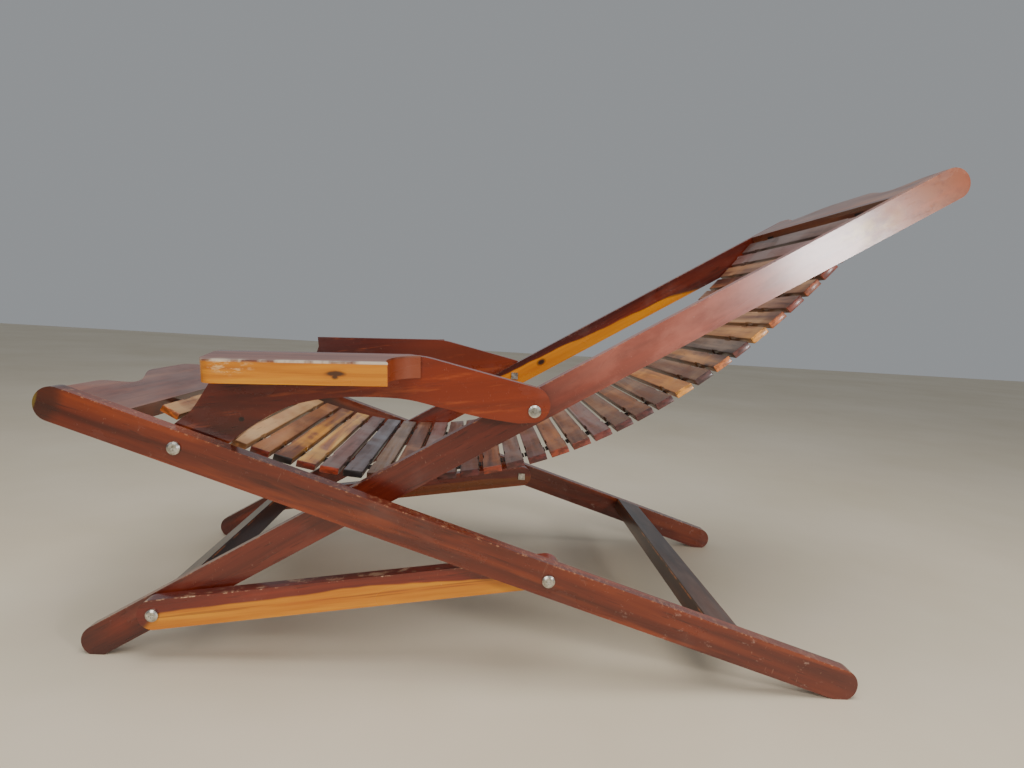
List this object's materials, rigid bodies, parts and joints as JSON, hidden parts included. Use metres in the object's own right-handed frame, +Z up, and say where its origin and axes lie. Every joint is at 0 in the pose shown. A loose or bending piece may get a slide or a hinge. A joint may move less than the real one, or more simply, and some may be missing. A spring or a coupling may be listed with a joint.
{
  "type": "folding easy chair",
  "caption": "Folding garden easy chair: crossing wooden frames hinged by shaped arms and struts, with a hanging seat of thin slats on webbing straps.",
  "frame": {"origin": "centre of the bounding box's base, on the floor under the open chair", "axes": "+X across to the sitter's left, +Y from the foot end towards the head end, +Z up"},
  "size_m": [0.6684, 1.1433, 0.6952],
  "materials": {
    "rail_wood": "gloss",
    "arm_wood": "gloss",
    "arm_rest_wood": "gloss",
    "strut_wood": "gloss",
    "board_wood": "satin",
    "stretcher_wood": "satin",
    "slat_wood": "satin",
    "webbing": "matte",
    "zinc_hardware": "polished"
  },
  "bodies": {
    "seat_frame": {"seat_rail_l": "rail_wood", "seat_rail_r": "rail_wood", "front_board": "board_wood", "rear_stretcher": "stretcher_wood", "seat_bolts": "zinc_hardware", "strap_tails_front": "webbing"},
    "arms": {"arm_panel_l": "arm_wood", "arm_panel_r": "arm_wood", "arm_block_l": "arm_rest_wood", "arm_block_r": "arm_rest_wood", "arm_bolts": "zinc_hardware", "link_nuts_arm": "zinc_hardware"},
    "back_frame": {"back_rail_l": "rail_wood", "back_rail_r": "rail_wood", "headboard": "board_wood", "front_stretcher": "stretcher_wood", "back_nuts": "zinc_hardware", "strap_tails_head": "webbing"},
    "struts": {"strut_l": "strut_wood", "strut_r": "strut_wood", "strut_bolts": "zinc_hardware", "link_nuts_strut": "zinc_hardware"},
    "sling_01": {"slats_01": "slat_wood", "straps_01": "webbing"},
    "sling_02": {"slats_02": "slat_wood", "straps_02": "webbing"},
    "sling_03": {"slats_03": "slat_wood", "straps_03": "webbing"},
    "sling_04": {"slats_04": "slat_wood", "straps_04": "webbing"},
    "sling_05": {"slats_05": "slat_wood", "straps_05": "webbing"},
    "sling_06": {"slats_06": "slat_wood", "straps_06": "webbing"},
    "sling_07": {"slats_07": "slat_wood", "straps_07": "webbing"},
    "sling_08": {"slats_08": "slat_wood", "straps_08": "webbing"},
    "sling_09": {"slats_09": "slat_wood", "straps_09": "webbing"},
    "sling_10": {"slats_10": "slat_wood", "straps_10": "webbing"},
    "sling_11": {"slats_11": "slat_wood", "straps_11": "webbing"},
    "sling_12": {"slats_12": "slat_wood", "straps_12": "webbing"},
    "sling_13": {"slats_13": "slat_wood", "straps_13": "webbing"},
    "sling_14": {"slats_14": "slat_wood", "straps_14": "webbing"},
    "sling_15": {"slats_15": "slat_wood", "straps_15": "webbing"},
    "sling_16": {"slats_16": "slat_wood", "straps_16": "webbing"}
  },
  "joints": [
    {"name": "arm_fold", "type": "hinge", "parent": "seat_frame", "child": "arms", "pos_m": [0, -0.40755, 0.28997], "axis": [1, 0, 0], "range_deg": [-26.5, 0]},
    {"name": "back_fold", "type": "hinge", "parent": "arms", "child": "back_frame", "pos_m": [0, 0.02411, 0.35333], "axis": [1, 0, 0], "range_deg": [0, 152]},
    {"name": "strut_fold", "type": "hinge", "parent": "seat_frame", "child": "struts", "pos_m": [0, 0.05254, 0.14367], "axis": [1, 0, 0], "range_deg": [0, 147.28]},
    {"name": "sling_fold_01", "type": "hinge", "parent": "seat_frame", "child": "sling_01", "pos_m": [0, -0.46448, 0.32175], "axis": [1, 0, 0], "range_deg": [-2.99, 0]},
    {"name": "sling_fold_02", "type": "hinge", "parent": "sling_01", "child": "sling_02", "pos_m": [0, -0.37854, 0.2823], "axis": [1, 0, 0], "range_deg": [-8.11, 0]},
    {"name": "sling_fold_03", "type": "hinge", "parent": "sling_02", "child": "sling_03", "pos_m": [0, -0.28782, 0.25536], "axis": [1, 0, 0], "range_deg": [-8.85, 0]},
    {"name": "sling_fold_04", "type": "hinge", "parent": "sling_03", "child": "sling_04", "pos_m": [0, -0.194, 0.24267], "axis": [1, 0, 0], "range_deg": [-9.23, 0]},
    {"name": "sling_fold_05", "type": "hinge", "parent": "sling_04", "child": "sling_05", "pos_m": [0, -0.09935, 0.24519], "axis": [1, 0, 0], "range_deg": [-7.66, 0]},
    {"name": "sling_fold_06", "type": "hinge", "parent": "sling_05", "child": "sling_06", "pos_m": [0, -0.03701, 0.25527], "axis": [1, 0, 0], "range_deg": [0, 25.51]},
    {"name": "sling_fold_07", "type": "hinge", "parent": "sling_06", "child": "sling_07", "pos_m": [0, -0.00633, 0.26273], "axis": [1, 0, 0], "range_deg": [0, 27.1]},
    {"name": "sling_fold_08", "type": "hinge", "parent": "sling_07", "child": "sling_08", "pos_m": [0, 0.02394, 0.27171], "axis": [1, 0, 0], "range_deg": [0, 27.18]},
    {"name": "sling_fold_16", "type": "hinge", "parent": "back_frame", "child": "sling_16", "pos_m": [0, 0.48445, 0.6383], "axis": [1, 0, 0], "range_deg": [-11.95, 0]},
    {"name": "sling_fold_15", "type": "hinge", "parent": "sling_16", "child": "sling_15", "pos_m": [0, 0.42613, 0.5643], "axis": [1, 0, 0], "range_deg": [0, 3.86]},
    {"name": "sling_fold_14", "type": "hinge", "parent": "sling_15", "child": "sling_14", "pos_m": [0, 0.36292, 0.49434], "axis": [1, 0, 0], "range_deg": [0, 4.54]},
    {"name": "sling_fold_13", "type": "hinge", "parent": "sling_14", "child": "sling_13", "pos_m": [0, 0.29434, 0.42956], "axis": [1, 0, 0], "range_deg": [0, 5.33]},
    {"name": "sling_fold_12", "type": "hinge", "parent": "sling_13", "child": "sling_12", "pos_m": [0, 0.21998, 0.37138], "axis": [1, 0, 0], "range_deg": [0, 6.23]},
    {"name": "sling_fold_11", "type": "hinge", "parent": "sling_12", "child": "sling_11", "pos_m": [0, 0.13969, 0.32157], "axis": [1, 0, 0], "range_deg": [-21.11, 0]},
    {"name": "sling_fold_10", "type": "hinge", "parent": "sling_11", "child": "sling_10", "pos_m": [0, 0.11163, 0.30717], "axis": [1, 0, 0], "range_deg": [-23.25, 0]},
    {"name": "sling_fold_09", "type": "hinge", "parent": "sling_10", "child": "sling_09", "pos_m": [0, 0.08296, 0.29401], "axis": [1, 0, 0], "range_deg": [-23.15, 0]}
  ],
  "couplings": [
    {"joint": "arm_fold", "follows": "back_fold", "ratio": -0.17433},
    {"joint": "strut_fold", "follows": "back_fold", "ratio": 0.96895},
    {"joint": "sling_fold_01", "follows": "back_fold", "ratio": -0.01964},
    {"joint": "sling_fold_02", "follows": "back_fold", "ratio": -0.05336},
    {"joint": "sling_fold_03", "follows": "back_fold", "ratio": -0.058193},
    {"joint": "sling_fold_04", "follows": "back_fold", "ratio": -0.06069},
    {"joint": "sling_fold_05", "follows": "back_fold", "ratio": -0.050387},
    {"joint": "sling_fold_06", "follows": "back_fold", "ratio": 0.16785},
    {"joint": "sling_fold_07", "follows": "back_fold", "ratio": 0.17825},
    {"joint": "sling_fold_08", "follows": "back_fold", "ratio": 0.1788},
    {"joint": "sling_fold_16", "follows": "back_fold", "ratio": -0.078581},
    {"joint": "sling_fold_15", "follows": "back_fold", "ratio": 0.02539},
    {"joint": "sling_fold_14", "follows": "back_fold", "ratio": 0.029826},
    {"joint": "sling_fold_13", "follows": "back_fold", "ratio": 0.035044},
    {"joint": "sling_fold_12", "follows": "back_fold", "ratio": 0.040973},
    {"joint": "sling_fold_11", "follows": "back_fold", "ratio": -0.13885},
    {"joint": "sling_fold_10", "follows": "back_fold", "ratio": -0.15296},
    {"joint": "sling_fold_09", "follows": "back_fold", "ratio": -0.15227}
  ]
}
